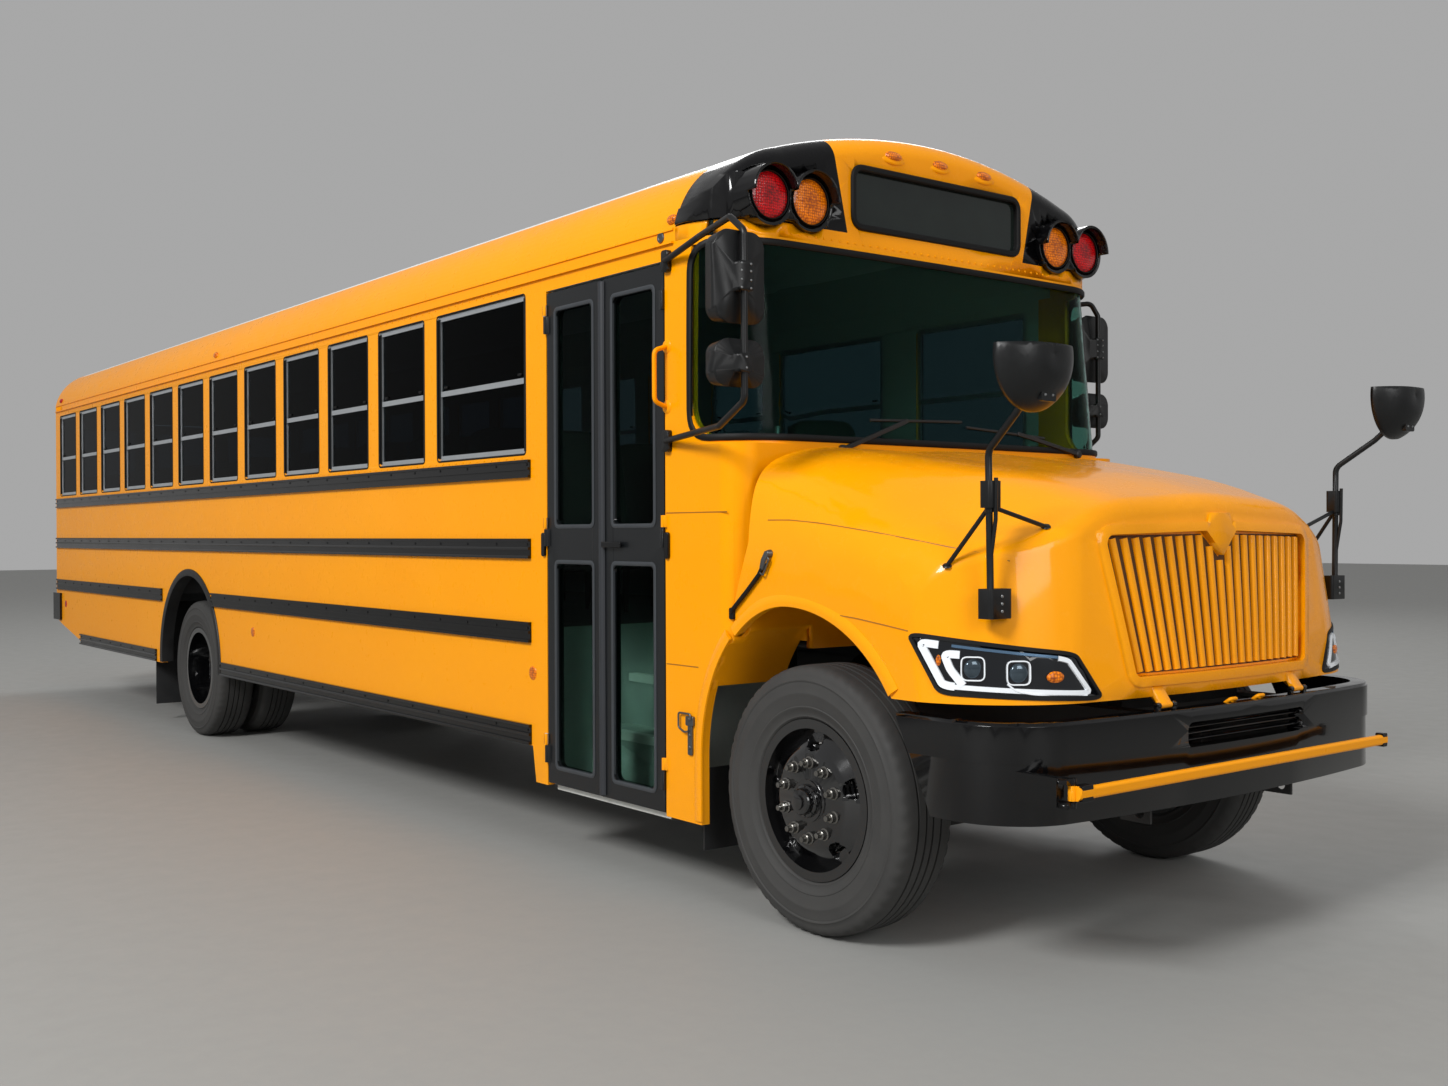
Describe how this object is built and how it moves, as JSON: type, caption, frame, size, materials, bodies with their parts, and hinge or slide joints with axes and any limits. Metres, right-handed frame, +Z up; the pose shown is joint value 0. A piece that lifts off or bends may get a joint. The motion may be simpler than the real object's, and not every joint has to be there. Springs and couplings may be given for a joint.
{
  "type": "school bus",
  "caption": "Full-size conventional school bus with a hollow cabin, tilting hood, folding entry doors, emergency door, swing arms, steered front wheels and twin rear wheels.",
  "frame": {"origin": "on the ground, under the middle of the bounding box", "axes": "+X forward, +Y to the driver's side, +Z up"},
  "size_m": [12.4, 3.03, 3.2599],
  "materials": {
    "aluminium": "mill finish extrusion",
    "black_paint": "black enamel, satin",
    "black_plastic": "moulded black",
    "cast_iron": "painted casting",
    "chassis_black": "black chassis paint, matt",
    "dash_plastic": "grained dark grey",
    "door_paint": "charcoal powder coat, satin",
    "exhaust_steel": "aluminised steel",
    "floor_steel": "ribbed black floor covering on steel",
    "gloss_black": "black enamel, gloss",
    "lamp_lens": "moulded red and amber lenses",
    "roof_paint": "white enamel on yellow, gloss",
    "rubber": "matt sheet",
    "seat_vinyl": "dark blue vinyl",
    "sign_red": "red sheet with a white border",
    "spring_steel": "scaled spring steel",
    "step_steel": "black treads with white nosings",
    "tinted_glass": "dark green tint",
    "tyre": "matt rubber",
    "yellow_paint": "chrome-yellow enamel, gloss"
  },
  "bodies": {
    "bus_body": {"arm_brackets": "black_plastic", "chassis": "chassis_black", "cowl": "yellow_paint", "cross_members": "chassis_black", "dashboard": "dash_plastic", "driveline": "chassis_black", "driver_seat": "seat_vinyl", "engine": "cast_iron", "entry_steps": "step_steel", "exhaust": "exhaust_steel", "floor": "floor_steel", "front_axle": "chassis_black", "front_bumper": "gloss_black", "front_cap": "yellow_paint", "fuel_tank": "chassis_black", "gearbox": "cast_iron", "lamp_housings": "black_plastic", "leaf_springs": "spring_steel", "mirrors": "black_plastic", "mud_flaps": "rubber", "passenger_seats": "seat_vinyl", "radiator": "aluminium", "rear_axle": "chassis_black", "rear_bumper": "gloss_black", "rear_wall": "yellow_paint", "roof": "roof_paint", "rub_rails": "black_paint", "side_wall_left": "yellow_paint", "side_wall_right": "yellow_paint", "steering_wheel": "dash_plastic", "tail_lamps": "lamp_lens", "warning_lamps": "lamp_lens", "window_frames": "aluminium", "window_glass": "tinted_glass", "windshield_frame": "yellow_paint", "windshield_glass": "tinted_glass"},
    "hood": {"hood": "yellow_paint", "grille": "yellow_paint", "headlamps": "lamp_lens", "crossview_mirrors": "black_plastic"},
    "door_leaf_front": {"door_leaf_front": "door_paint", "door_glass_front": "tinted_glass"},
    "door_leaf_rear": {"door_leaf_rear": "door_paint", "door_glass_rear": "tinted_glass"},
    "emergency_door": {"emergency_door": "yellow_paint", "emergency_glass": "tinted_glass"},
    "knuckle_right": {"knuckle_right": "cast_iron"},
    "knuckle_left": {"knuckle_left": "cast_iron"},
    "front_wheel_right": {"front_wheel_right": "gloss_black", "front_tyre_right": "tyre"},
    "front_wheel_left": {"front_wheel_left": "gloss_black", "front_tyre_left": "tyre"},
    "rear_wheels_right": {"rear_wheels_right": "gloss_black", "rear_tyres_right": "tyre"},
    "rear_wheels_left": {"rear_wheels_left": "gloss_black", "rear_tyres_left": "tyre"},
    "crossing_arm": {"crossing_arm": "yellow_paint"},
    "stop_arm": {"stop_sign": "sign_red"}
  },
  "joints": [
    {"name": "hood_tilt", "type": "hinge", "parent": "bus_body", "child": "hood", "pos_m": [6.064, 0, 0.912], "axis": [0, 1, 0], "range_deg": [0, 60]},
    {"name": "door_front_swing", "type": "hinge", "parent": "bus_body", "child": "door_leaf_front", "pos_m": [4.167, -1.229, 1.5], "axis": [0, 0, 1], "range_deg": [0, 88]},
    {"name": "door_rear_swing", "type": "hinge", "parent": "bus_body", "child": "door_leaf_rear", "pos_m": [3.218, -1.229, 1.5], "axis": [0, 0, -1], "range_deg": [0, 88]},
    {"name": "emergency_door_swing", "type": "hinge", "parent": "bus_body", "child": "emergency_door", "pos_m": [-6.118, -0.337, 1.845], "axis": [0, 0, 1], "range_deg": [0, 100]},
    {"name": "steer_left", "type": "hinge", "parent": "bus_body", "child": "knuckle_left", "pos_m": [5.01, 0.95, 0.51], "axis": [0, 0, 1], "range_deg": [-35, 35]},
    {"name": "steer_right", "type": "hinge", "parent": "bus_body", "child": "knuckle_right", "pos_m": [5.01, -0.95, 0.51], "axis": [0, 0, 1], "range_deg": [-35, 35]},
    {"name": "front_left_spin", "type": "hinge", "parent": "knuckle_left", "child": "front_wheel_left", "pos_m": [5.01, 1.035, 0.51], "axis": [0, 1, 0], "continuous": true},
    {"name": "front_right_spin", "type": "hinge", "parent": "knuckle_right", "child": "front_wheel_right", "pos_m": [5.01, -1.035, 0.51], "axis": [0, 1, 0], "continuous": true},
    {"name": "rear_left_spin", "type": "hinge", "parent": "bus_body", "child": "rear_wheels_left", "pos_m": [-1.96, 0.9, 0.51], "axis": [0, 1, 0], "continuous": true},
    {"name": "rear_right_spin", "type": "hinge", "parent": "bus_body", "child": "rear_wheels_right", "pos_m": [-1.96, -0.9, 0.51], "axis": [0, 1, 0], "continuous": true},
    {"name": "crossing_arm_swing", "type": "hinge", "parent": "bus_body", "child": "crossing_arm", "pos_m": [6.162, -1.06, 0.688], "axis": [0, 0, -1], "range_deg": [0, 90]},
    {"name": "stop_arm_swing", "type": "hinge", "parent": "bus_body", "child": "stop_arm", "pos_m": [3.868, 1.268, 1.65], "axis": [0, 0, -1], "range_deg": [0, 90]}
  ],
  "couplings": [
    {"joint": "door_rear_swing", "follows": "door_front_swing", "ratio": 1},
    {"joint": "steer_right", "follows": "steer_left", "ratio": 1}
  ]
}
